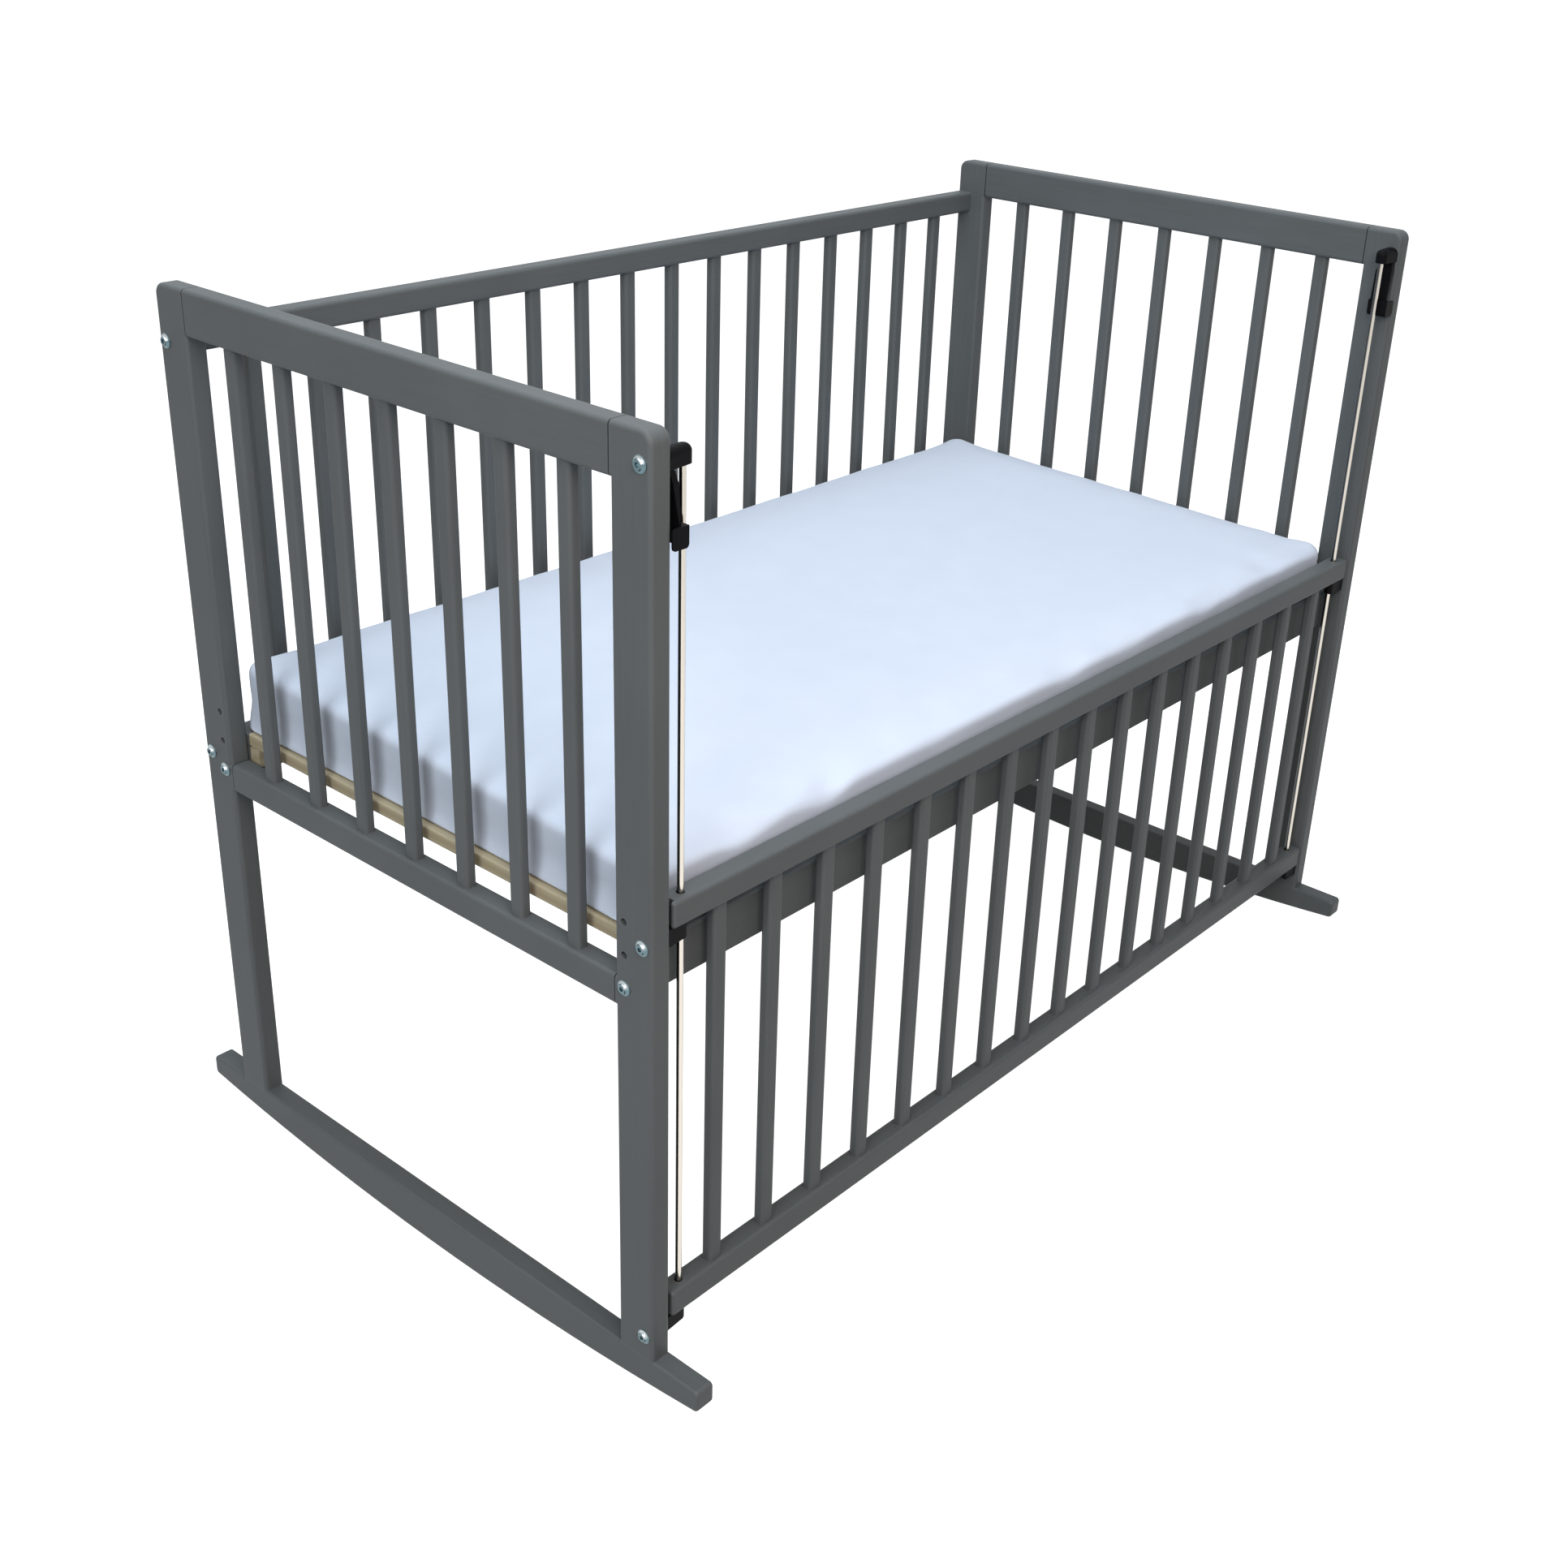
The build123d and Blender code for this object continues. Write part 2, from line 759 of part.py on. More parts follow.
drop_top_rail.part.label = "drop_top_rail"
export_step(drop_top_rail.part, "parts/drop_top_rail.step")

with BuildPart() as drop_bottom_rail:
    long_bar(
        drop_rail_length,
        front_mid_y,
        drop_bottom_rail_bottom,
        timber,
        drop_bottom_rail_height,
        rail_edge_round,
    )
    fillet(faces().filter_by(Axis.X).edges(), rail_end_round)
    tenon_pockets(drop_slat_places, tenon_width, tenon_depth, drop_bottom_rail_top, -1)
    round_holes(
        Plane.XY.offset(drop_bottom_rail_bottom),
        [(-rod_x, front_mid_y), (rod_x, front_mid_y)],
        rod_hole_radius,
        drop_bottom_rail_height,
    )
drop_bottom_rail.part.label = "drop_bottom_rail"
export_step(drop_bottom_rail.part, "parts/drop_bottom_rail.step")

with BuildPart() as drop_slats:
    slat_row(
        drop_slat_places,
        slat_width,
        slat_depth,
        tenon_width,
        tenon_depth,
        drop_bottom_rail_top,
        drop_top_rail_bottom,
    )
drop_slats.part.label = "drop_slats"
export_step(drop_slats.part, "parts/drop_slats.step")

# Bed base: two side boards bolted between the posts, two end bars dowelled between them,
# and slats between the bars. Bars and slats lie on ledgers screwed to the boards
ledger_length = inner_length - 2 * end_bar_gap
slatted_length = ledger_length - 2 * (end_bar_width + base_clearance)
ledger_bottom = base_slat_bottom - ledger_height
ledger_middle = ledger_bottom + ledger_height / 2
screw_xs = row(screw_count, ledger_length / screw_count)
end_bar_dowel_xs = [
    side * end_bar_x + way * end_bar_dowel_spread / 2 for side in (-1, 1) for way in (-1, 1)
]
for side, board_y, name in ((-1, front_board_y, "front"), (1, back_board_y, "back")):
    inner_face_y = board_y - side * base_board_thickness / 2
    with BuildPart() as board:
        long_bar(
            inner_length,
            board_y,
            base_board_bottom,
            base_board_thickness,
            base_board_height,
            base_board_round,
        )
        cross_nut_holes(board_y, base_board_thickness, base_level)
        round_holes(
            Plane.XZ.offset(-inner_face_y),
            [(x, end_bar_z) for x in end_bar_dowel_xs],
            dowel_radius + dowel_clearance,
            -side * (base_dowel_in_board + dowel_clearance),
        )
        round_holes(
            Plane.XZ.offset(-inner_face_y),
            [(x, ledger_middle) for x in screw_xs],
            screw_radius,
            -side * (screw_length - ledger_thickness),
        )
    board.part.label = f"{name}_base_board"
    export_step(board.part, f"parts/{name}_base_board.step")

    with BuildPart() as ledger:
        long_bar(
            ledger_length,
            inner_face_y - side * ledger_thickness / 2,
            ledger_bottom,
            ledger_thickness,
            ledger_height,
            base_slat_round,
        )
        round_holes(
            Plane.XZ.offset(-inner_face_y),
            [(x, ledger_middle) for x in screw_xs],
            screw_radius,
            side * ledger_thickness,
        )
        for x in screw_xs:
            with BuildSketch(Plane.XZ.offset(side * ledger_thickness - inner_face_y)):
                with Locations((x, ledger_middle)):
                    Circle(screw_head_radius)
            extrude(
                amount=-side * (screw_head_radius - screw_radius), taper=45, mode=Mode.SUBTRACT
            )
    ledger.part.label = f"{name}_ledger"
    export_step(ledger.part, f"parts/{name}_ledger.step")

    with BuildPart() as ledger_screws:
        for x in screw_xs:
            with BuildSketch(Plane.XZ.offset(side * ledger_thickness - inner_face_y)):
                with Locations((x, ledger_middle)):
                    Circle(screw_head_radius)
            extrude(amount=-side * (screw_head_radius - screw_radius), taper=45)
            with BuildSketch(Plane.XZ.offset(side * ledger_thickness - inner_face_y)):
                with Locations((x, ledger_middle)):
                    Circle(screw_radius)
            extrude(amount=-side * (screw_length))
    ledger_screws.part.label = f"{name}_ledger_screws"
    export_step(ledger_screws.part, f"parts/{name}_ledger_screws.step")

for side, name in ((-1, "left"), (1, "right")):
    with BuildPart() as end_bar:
        with BuildSketch(Plane.XZ):
            with Locations((side * end_bar_x, end_bar_z)):
                RectangleRounded(end_bar_width, end_bar_thickness, base_slat_round)
        extrude(amount=base_inner_width / 2, both=True)
        for face_side in (-1, 1):
            round_holes(
                Plane.XZ.offset(-face_side * base_inner_width / 2),
                [(x, end_bar_z) for x in end_bar_dowel_xs if x * side > 0],
                dowel_radius + dowel_clearance,
                face_side * (base_dowel_length - base_dowel_in_board + dowel_clearance),
            )
    end_bar.part.label = f"{name}_base_bar"
    export_step(end_bar.part, f"parts/{name}_base_bar.step")

with BuildPart() as base_dowels:
    for side in (-1, 1):
        start_y = side * (base_inner_width / 2 + base_dowel_in_board)
        with BuildSketch(Plane.XZ.offset(-start_y)):
            with Locations([(x, end_bar_z) for x in end_bar_dowel_xs]):
                Circle(dowel_radius)
        extrude(amount=side * base_dowel_length)
base_dowels.part.label = "base_dowels"
export_step(base_dowels.part, "parts/base_dowels.step")

with BuildPart() as base_slats:
    slat_length = base_inner_width - 2 * base_clearance
    slat_pitch = slatted_length / base_slat_count
    with BuildSketch(Plane.XZ):
        with Locations(
            [
                (x, base_slat_bottom + base_slat_thickness / 2)
                for x in row(base_slat_count, slat_pitch)
            ]
        ):
            RectangleRounded(base_slat_width, base_slat_thickness, base_slat_round)
    extrude(amount=slat_length / 2, both=True)
base_slats.part.label = "base_slats"
export_step(base_slats.part, "parts/base_slats.step")


# Mattress outline: each side is drawn in a little between its rounded corners
def mattress_outline(height, inset):
    half_x = mattress_length / 2 - inset
    half_y = mattress_width / 2 - inset
    corner = mattress_corner_radius
    drawn = mattress_drawn_in
    reach = corner * sqrt(0.5)
    with BuildSketch(Plane.XY.offset(height)) as outline:
        with BuildLine():
            for sx, sy in ((1, 1), (-1, 1), (-1, -1), (1, -1)):
                long_end = (sx * (half_x - corner), sy * half_y)
                short_end = (sx * half_x, sy * (half_y - corner))
                centre = (sx * (half_x - corner), sy * (half_y - corner))
                ThreePointArc(
                    long_end, (centre[0] + sx * reach, centre[1] + sy * reach), short_end
                )
            for sy in (-1, 1):
                ThreePointArc(
                    (corner - half_x, sy * half_y),
                    (0, sy * (half_y - drawn)),
                    (half_x - corner, sy * half_y),
                )
            for sx in (-1, 1):
                ThreePointArc(
                    (sx * half_x, corner - half_y),
                    (sx * (half_x - drawn), 0),
                    (sx * half_x, half_y - corner),
                )
        make_face()
    return outline.sketch


# Mattress: rounded lower and upper edges, and a low crown on top
with BuildPart() as mattress:
    mattress_bottom = base_board_top + rest_clearance
    shoulder = mattress_bottom + mattress_edge_height
    sections = []
    quarter_turn = radians(90)
    edge_turns = [
        quarter_turn * step / mattress_edge_steps for step in range(mattress_edge_steps + 1)
    ]
    for turn in edge_turns:
        rise = mattress_edge_round * (1 - cos(turn))
        inset = mattress_edge_round * (1 - sin(turn))
        sections.append(mattress_outline(mattress_bottom + rise, inset))
    for turn in reversed(edge_turns):
        rise = mattress_edge_round * (1 - cos(turn))
        inset = mattress_edge_round * (1 - sin(turn))
        sections.append(mattress_outline(shoulder - rise, inset))
    for step in range(1, mattress_crown_steps + 1):
        share = step / mattress_crown_steps
        inset = mattress_edge_round + (mattress_crown_inset - mattress_edge_round) * share
        rise = mattress_crown * sin(quarter_turn * share)
        sections.append(mattress_outline(shoulder + rise, inset))
    loft(sections, ruled=True)
mattress.part.label = "mattress"
export_step(mattress.part, "parts/mattress.step")
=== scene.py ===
import math

import bmesh
import bpy
from mathutils import Matrix, Vector, noise


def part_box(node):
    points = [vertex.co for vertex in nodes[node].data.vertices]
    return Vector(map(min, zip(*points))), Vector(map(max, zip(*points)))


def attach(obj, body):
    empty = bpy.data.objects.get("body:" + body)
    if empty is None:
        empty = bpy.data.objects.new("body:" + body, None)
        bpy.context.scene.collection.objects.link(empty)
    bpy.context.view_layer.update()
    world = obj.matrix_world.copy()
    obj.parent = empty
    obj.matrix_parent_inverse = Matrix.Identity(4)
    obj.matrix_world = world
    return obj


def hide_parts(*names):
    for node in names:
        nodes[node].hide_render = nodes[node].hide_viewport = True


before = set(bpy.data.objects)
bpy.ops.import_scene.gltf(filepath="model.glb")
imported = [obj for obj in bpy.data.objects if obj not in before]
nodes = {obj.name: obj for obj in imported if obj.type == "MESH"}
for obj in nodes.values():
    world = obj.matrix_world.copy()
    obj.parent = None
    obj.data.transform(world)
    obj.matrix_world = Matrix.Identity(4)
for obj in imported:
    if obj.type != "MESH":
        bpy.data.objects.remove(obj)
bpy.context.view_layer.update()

# End frames: two posts, two rails, seven slats and a rocker at each end, of solid timber
# glued with dowels and sprayed in a satin grey paint that lets the grain show faintly. The
# rounded edges carry a painted highlight. The glued joints are flush, and a hairline of
# painted shade marks where the rail's end meets the post.
TIMBER_GREY = (0.083, 0.093, 0.097, 1.0)
# The lighter grey serves both the random cloud and grain tone and the painted highlight on the
# rounded edges.
TIMBER_GREY_WORN_AND_HIGHLIT = (0.128, 0.143, 0.150, 1.0)
PAINT_ROUGHNESS = (0.42, 0.58)
PAINT_SPECULAR = 0.15
PAINT_RELIEF_DEPTH = 0.00025
PAINT_RELIEF_STRENGTH = 0.5
SPRAY_IN_RELIEF = 0.25
GRAIN_LENGTHWAYS = 0.05
GRAIN_SCALE = 260.0
GRAIN_SPAN = (0.3, 0.7)
GRAIN_WEAR = 0.16
CLOUD_SCALE = 7.0
CLOUD_SPAN = (0.35, 0.65)
CLOUD_WEAR = 0.2
SPRAY_SCALE = 900.0
EDGE_REACH = 0.003
EDGE_SAMPLES = 4
EDGE_TURNED = 0.86
# Share of painted highlight on the rounded edges.
EDGE_PAINTED_HIGHLIGHT = 0.35
# Painted shade: a dark hairline where the rail's end meets the post.
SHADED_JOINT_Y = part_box("left_top_rail")[1].y
SHADED_JOINT_WIDTH = 0.0016
SHADED_JOINT_DARKNESS = 0.05


def new_finish(name):
    material = bpy.data.materials.new(name)
    material.use_nodes = True
    tree = material.node_tree
    return material, tree, tree.nodes["Principled BSDF"]


def feed(tree, node, feeds):
    for socket, source in feeds.items():
        if isinstance(source, bpy.types.NodeSocket):
            tree.links.new(source, node.inputs[socket])
        else:
            node.inputs[socket].default_value = source


def add_node(tree, kind, feeds=None, **settings):
    node = tree.nodes.new(kind)
    for setting, value in settings.items():
        setattr(node, setting, value)
    feed(tree, node, feeds or {})
    return node


def object_place(tree):
    return add_node(tree, "ShaderNodeTexCoord").outputs["Object"]


def along_grain(tree, place, run):
    stretch = [GRAIN_LENGTHWAYS if axis == run else 1.0 for axis in "xyz"]
    return add_node(tree, "ShaderNodeMapping", {"Vector": place, "Scale": stretch}).outputs[0]


def clouds_at(tree, place, scale, detail):
    feeds = {"Vector": place, "Scale": scale, "Detail": detail}
    return add_node(tree, "ShaderNodeTexNoise", feeds).outputs[0]


def spread(tree, value, target, span=(0.0, 1.0)):
    feeds = {"Value": value, "From Min": span[0], "From Max": span[1]}
    feeds |= {"To Min": target[0], "To Max": target[1]}
    return add_node(tree, "ShaderNodeMapRange", feeds).outputs[0]


def worked_out(tree, operation, first, second, clamped=False):
    feeds = {0: first, 1: second}
    node = add_node(tree, "ShaderNodeMath", feeds, operation=operation, use_clamp=clamped)
    return node.outputs[0]


def two_tones(tree, share, first, second):
    feeds = {0: share, 6: first, 7: second}
    return add_node(tree, "ShaderNodeMix", feeds, data_type="RGBA").outputs[2]


def two_heights(tree, share, first, second):
    feeds = {0: share, 2: first, 3: second}
    return add_node(tree, "ShaderNodeMix", feeds, data_type="FLOAT").outputs[0]


def part_along(tree, vector, axis):
    return add_node(tree, "ShaderNodeSeparateXYZ", {0: vector}).outputs[axis]


def raised(tree, height, depth, strength):
    feeds = {"Height": height, "Distance": depth, "Strength": strength}
    return add_node(tree, "ShaderNodeBump", feeds).outputs["Normal"]


# Painted highlight: the rounded edges are painted lighter, in place of the light they catch.
def painted_edge_highlight(tree):
    rounded = add_node(tree, "ShaderNodeBevel", {"Radius": EDGE_REACH}, samples=EDGE_SAMPLES)
    flat = add_node(tree, "ShaderNodeNewGeometry")
    feeds = {0: rounded.outputs["Normal"], 1: flat.outputs["True Normal"]}
    facing = add_node(tree, "ShaderNodeVectorMath", feeds, operation="DOT_PRODUCT")
    return spread(tree, facing.outputs["Value"], (0.0, EDGE_PAINTED_HIGHLIGHT), (1.0, EDGE_TURNED))


def painted_timber(name, run, shaded_joint=False):
    material, tree, shader = new_finish(name)
    place = object_place(tree)
    grain = clouds_at(tree, along_grain(tree, place, run), GRAIN_SCALE, detail=4.0)
    clouds = clouds_at(tree, place, CLOUD_SCALE, detail=2.0)
    spray = clouds_at(tree, place, SPRAY_SCALE, detail=1.0)
    shade = spread(tree, clouds, (0.0, CLOUD_WEAR), CLOUD_SPAN)
    streak = spread(tree, grain, (0.0, GRAIN_WEAR), GRAIN_SPAN)
    worn_and_highlit = worked_out(tree, "ADD", shade, streak)
    # Painted highlight along the rounded edges, added to the random cloud and grain tone.
    worn_and_highlit = worked_out(tree, "ADD", worn_and_highlit, painted_edge_highlight(tree), clamped=True)
    colour = two_tones(tree, worn_and_highlit, TIMBER_GREY, TIMBER_GREY_WORN_AND_HIGHLIT)
    # Painted shade: darkens a hairline at the rail's end, where it meets the post.
    if shaded_joint:
        side = worked_out(tree, "ABSOLUTE", part_along(tree, place, "Y"), 0.0)
        joint = (SHADED_JOINT_Y - SHADED_JOINT_WIDTH, SHADED_JOINT_Y - SHADED_JOINT_WIDTH / 2)
        light = spread(tree, side, (1.0, SHADED_JOINT_DARKNESS), joint)
        feeds = {0: colour, "Scale": light}
        colour = add_node(tree, "ShaderNodeVectorMath", feeds, operation="SCALE").outputs[0]
    relief = two_heights(tree, SPRAY_IN_RELIEF, grain, spray)
    finish = {
        "Base Color": colour,
        "Roughness": spread(tree, grain, PAINT_ROUGHNESS),
        "Normal": raised(tree, relief, PAINT_RELIEF_DEPTH, PAINT_RELIEF_STRENGTH),
        "Specular IOR Level": PAINT_SPECULAR,
    }
    feed(tree, shader, finish)
    return material


def at_both_ends(*kinds):
    return [f"{end}_{kind}" for end in ("left", "right") for kind in kinds]


def finish_nodes(names, material):
    for name in names:
        for slot in nodes[name].material_slots:
            slot.material = material


finish_nodes(
    at_both_ends("front_post", "back_post", "end_slats"),
    painted_timber("grey_upright_timber", "z"),
)
finish_nodes(
    at_both_ends("top_rail", "bottom_rail"),
    painted_timber("grey_end_rail_timber", "y", shaded_joint=True),
)
finish_nodes(at_both_ends("rocker"), painted_timber("grey_rocker_timber", "y"))

# Back panel and drop side: each has two long rails and sixteen slats in the same painted
# timber. The slats' stub tenons are glued in pockets, and the drop side's rails are bored for
# the two guide rods.
long_timber = painted_timber("grey_long_timber", "x")
slat_timber = painted_timber("grey_slat_timber", "z")
long_rails = ["back_top_rail", "back_bottom_rail", "drop_top_rail", "drop_bottom_rail"]
finish_nodes(long_rails, long_timber)
finish_nodes(["back_slats", "drop_slats"], slat_timber)

# Bed base: two grey side boards bolted between the posts, and between them two end bars,
# eleven slats and two ledgers of raw planed pine, screwed and dowelled.
PINE_EARLY = (0.42, 0.37, 0.25, 1.0)
PINE_LATE = (0.30, 0.23, 0.14, 1.0)
PINE_ROUGHNESS = (0.55, 0.75)
RING_SCALE = 26.0
RING_WANDER = 7.0
WANDER_SCALE = 14.0
FIBRE_SCALE = 420.0
FIBRE_DEPTH = 0.0002
FIBRE_STRENGTH = 0.4


def raw_pine(name, run):
    material, tree, shader = new_finish(name)
    mapped = along_grain(tree, object_place(tree), run)
    wander = clouds_at(tree, mapped, WANDER_SCALE, detail=3.0)
    fibre = clouds_at(tree, mapped, FIBRE_SCALE, detail=3.0)
    feeds = {"Vector": mapped, "Scale": RING_SCALE, "Distortion": RING_WANDER, "Detail": 2.0}
    rings = add_node(tree, "ShaderNodeTexWave", feeds, wave_type="RINGS").outputs["Fac"]
    late_wood = worked_out(tree, "MULTIPLY", rings, wander)
    finish = {
        "Base Color": two_tones(tree, late_wood, PINE_EARLY, PINE_LATE),
        "Roughness": spread(tree, fibre, PINE_ROUGHNESS),
        "Normal": raised(tree, fibre, FIBRE_DEPTH, FIBRE_STRENGTH),
    }
    feed(tree, shader, finish)
    return material


finish_nodes(["front_base_board", "back_base_board"], long_timber)
finish_nodes(["left_base_bar", "right_base_bar", "base_slats"], raw_pine("pine_across", "y"))
finish_nodes(["front_ledger", "back_ledger"], raw_pine("pine_along", "x"))

# Dowels: fluted beech pegs, glued in the end frames and in the bed base, hidden when the cot
# is together.
BEECH = (0.56, 0.40, 0.24, 1.0)
BEECH_FLECK = (0.36, 0.22, 0.12, 1.0)
BEECH_ROUGHNESS = 0.6
FLECK_SCALE = 900.0
FLECK_SPAN = (0.0, 0.3)
beech, beech_tree, beech_shader = new_finish("raw_beech")
beech_place = along_grain(beech_tree, object_place(beech_tree), "y")
flecks = add_node(
    beech_tree, "ShaderNodeTexVoronoi", {"Vector": beech_place, "Scale": FLECK_SCALE}
)
between_flecks = spread(beech_tree, flecks.outputs["Distance"], (0.0, 1.0), FLECK_SPAN)
beech_finish = {
    "Base Color": two_tones(beech_tree, between_flecks, BEECH_FLECK, BEECH),
    "Roughness": BEECH_ROUGHNESS,
}
feed(beech_tree, beech_shader, beech_finish)
finish_nodes(["left_end_dowels", "right_end_dowels", "base_dowels"], beech)

# Guide rods: drawn steel rods with a bright plating, held upright in the moulded brackets.
# The side facing the open side carries a painted bright reflection, the other sides a painted
# dark reflection.
# Painted reflection: dark tone for the faces away from the open side, bright for those facing it.
ROD_PAINTED_DARK_REFLECTION = (0.07, 0.075, 0.08, 1.0)
ROD_PAINTED_BRIGHT_REFLECTION = (0.56, 0.52, 0.46, 1.0)
ROD_BRIGHT_REFLECTION_SPAN = (-0.15, -0.6)
ROD_ROUGHNESS = (0.10, 0.30)
RUB_SCALE = 700.0
rod_plating, rod_tree, rod_shader = new_finish("rod_plating")
rod_place = along_grain(rod_tree, object_place(rod_tree), "z")
rubs = clouds_at(rod_tree, rod_place, RUB_SCALE, detail=3.0)
rod_face = add_node(rod_tree, "ShaderNodeNewGeometry").outputs["Normal"]
rod_outwards = part_along(rod_tree, rod_face, "Y")
# Painted reflection: faces towards the open side are painted bright, the rest dark.
painted_reflection = spread(rod_tree, rod_outwards, (0.0, 1.0), ROD_BRIGHT_REFLECTION_SPAN)
rod_finish = {
    "Base Color": two_tones(rod_tree, painted_reflection, ROD_PAINTED_DARK_REFLECTION, ROD_PAINTED_BRIGHT_REFLECTION),
    "Roughness": spread(rod_tree, rubs, ROD_ROUGHNESS),
    "Metallic": 1.0,
}
feed(rod_tree, rod_shader, rod_finish)
finish_nodes(at_both_ends("guide_rod"), rod_plating)

# Brackets, stops and spring catches: injection moulded in black plastic with a fine spark
# eroded skin and a slight sheen, each bolted through its front post. The hood that holds the
# rod's top has its brow rounded off.
MOULDING_DARK = (0.0030, 0.0032, 0.0042, 1.0)
MOULDING_LIGHT = (0.0060, 0.0062, 0.0074, 1.0)
MOULDING_ROUGHNESS = (0.36, 0.56)
MOULDING_SPECULAR = 0.04
FLOW_SCALE = 60.0
SKIN_SCALE = 2200.0
SKIN_DEPTH = 0.00006
SKIN_STRENGTH = 0.5
BROW_ROUND = 0.0062
BROW_STEPS = 8
NOSE_RADIUS = 0.007
NOSE_STEPS = 16
NOSE_SWEEP = 85
MOULD_SLACK = 0.00002
ROOT_OVERRUN = 0.001
WELD_REACH = 0.000002
black_moulding, moulding_tree, moulding_shader = new_finish("black_moulding")
moulding_place = object_place(moulding_tree)
skin = clouds_at(moulding_tree, moulding_place, SKIN_SCALE, detail=2.0)
flow = clouds_at(moulding_tree, moulding_place, FLOW_SCALE, detail=2.0)
moulding_finish = {
    "Base Color": two_tones(moulding_tree, flow, MOULDING_DARK, MOULDING_LIGHT),
    "Roughness": spread(moulding_tree, skin, MOULDING_ROUGHNESS),
    "Normal": raised(moulding_tree, skin, SKIN_DEPTH, SKIN_STRENGTH),
    "Specular IOR Level": MOULDING_SPECULAR,
}
feed(moulding_tree, moulding_shader, moulding_finish)
finish_nodes(
    at_both_ends("top_bracket", "middle_stop", "bottom_bracket", "catch"), black_moulding
)


def into_scene(name, data):
    placed = bpy.data.objects.new(name, data)
    bpy.context.scene.collection.objects.link(placed)
    return placed


def settled(form, name):
    mesh = bpy.data.meshes.new(name)
    form.to_mesh(mesh)
    form.free()
    return mesh


def as_modified(thing):
    evaluated = thing.evaluated_get(bpy.context.evaluated_depsgraph_get())
    return bpy.data.meshes.new_from_object(evaluated)


def brow_levels(low, high):
    levels = [(-MOULD_SLACK, low.z - BROW_ROUND)]
    for step in range(BROW_STEPS + 1):
        turn = math.pi / 2 * step / BROW_STEPS
        inset = BROW_ROUND * (1 - math.cos(turn)) - MOULD_SLACK
        levels.append((inset, high.z - BROW_ROUND * (1 - math.sin(turn))))
    return levels


def nose_outline(nose, root, way, half_width, inset):
    radius = NOSE_RADIUS - inset
    outline = [(root - way * ROOT_OVERRUN, half_width - inset)]
    for step in range(NOSE_STEPS + 1):
        turn = math.radians(NOSE_SWEEP * (1 - 2 * step / NOSE_STEPS))
        along = nose - way * (NOSE_RADIUS - radius * math.cos(turn))
        outline.append((along, radius * math.sin(turn)))
    outline.append((root - way * ROOT_OVERRUN, inset - half_width))
    return outline


for end, way in (("left", 1), ("right", -1)):
    hood_low, hood_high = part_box(f"{end}_top_bracket")
    nose, root = (hood_high.x, hood_low.x) if way > 0 else (hood_low.x, hood_high.x)
    half_width = (hood_high.y - hood_low.y) / 2
    hood_middle = (hood_low.y + hood_high.y) / 2
    brow = bmesh.new()
    rings = []
    for inset, z in brow_levels(hood_low, hood_high):
        outline = nose_outline(nose, root, way, half_width, inset)
        rings.append([brow.verts.new((x, hood_middle + y, z)) for x, y in outline])
    brow.faces.new(rings[0])
    brow.faces.new(rings[-1][::-1])
    for lower, upper in zip(rings, rings[1:]):
        for k in range(len(lower)):
            n = (k + 1) % len(lower)
            brow.faces.new((lower[k], lower[n], upper[n], upper[k]))
    bmesh.ops.recalc_face_normals(brow, faces=brow.faces)
    cutter = into_scene("brow_cutter", settled(brow, "brow_cutter"))
    hood_form = bmesh.new()
    hood_form.from_mesh(nodes[f"{end}_top_bracket"].data)
    bmesh.ops.remove_doubles(hood_form, verts=hood_form.verts, dist=WELD_REACH)
    hood = into_scene(f"{end}_hood", settled(hood_form, f"{end}_hood"))
    trim = hood.modifiers.new("brow", "BOOLEAN")
    trim.operation = "INTERSECT"
    trim.solver = "EXACT"
    trim.object = cutter
    shaped = as_modified(hood)
    hood.modifiers.remove(trim)
    hood.data = shaped
    shaped.materials.clear()
    shaped.materials.append(black_moulding)
    bpy.data.objects.remove(cutter)
    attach(hood, "frame")
    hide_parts(f"{end}_top_bracket")

# Fasteners: button-head bolts, cross nuts and wood screws of steel with a bright zinc skin,
# slightly blue and cloudy. Each head carries painted shade on its flat and below, and a
# painted highlight on the upward-facing part of its rim.
# Painted shade for faces that don't point upwards; upward faces get the painted highlight.
ZINC_PAINTED_SHADE = (0.11, 0.17, 0.19, 1.0)
ZINC_CLOUDY = (0.34, 0.39, 0.41, 1.0)
ZINC_BRIGHT = (0.60, 0.65, 0.67, 1.0)
ZINC_ROUGHNESS = (0.16, 0.36)
BLOOM_SCALE = 380.0
TOP_HIGHLIGHT_SPAN = (0.04, 0.45)
bright_zinc, zinc_tree, zinc_shader = new_finish("bright_zinc")
bloom = clouds_at(zinc_tree, object_place(zinc_tree), BLOOM_SCALE, detail=3.0)
zinc_face = add_node(zinc_tree, "ShaderNodeNewGeometry").outputs["True Normal"]
zinc_upwards = part_along(zinc_tree, zinc_face, "Z")
# Painted highlight: faces that point upwards are painted in the bright zinc tone, the rest in
# painted shade.
painted_top_highlight = spread(zinc_tree, zinc_upwards, (0.0, 1.0), TOP_HIGHLIGHT_SPAN)
zinc_tone = two_tones(zinc_tree, bloom, ZINC_CLOUDY, ZINC_BRIGHT)
zinc_finish = {
    "Base Color": two_tones(zinc_tree, painted_top_highlight, ZINC_PAINTED_SHADE, zinc_tone),
    "Roughness": spread(zinc_tree, bloom, ZINC_ROUGHNESS),
    "Metallic": 1.0,
}
feed(zinc_tree, zinc_shader, zinc_finish)
finish_nodes(
    at_both_ends("bracket_bolts", "panel_bolts", "base_bolts", "panel_nuts", "base_nuts")
    + ["front_ledger_screws", "back_ledger_screws"],
    bright_zinc,
)

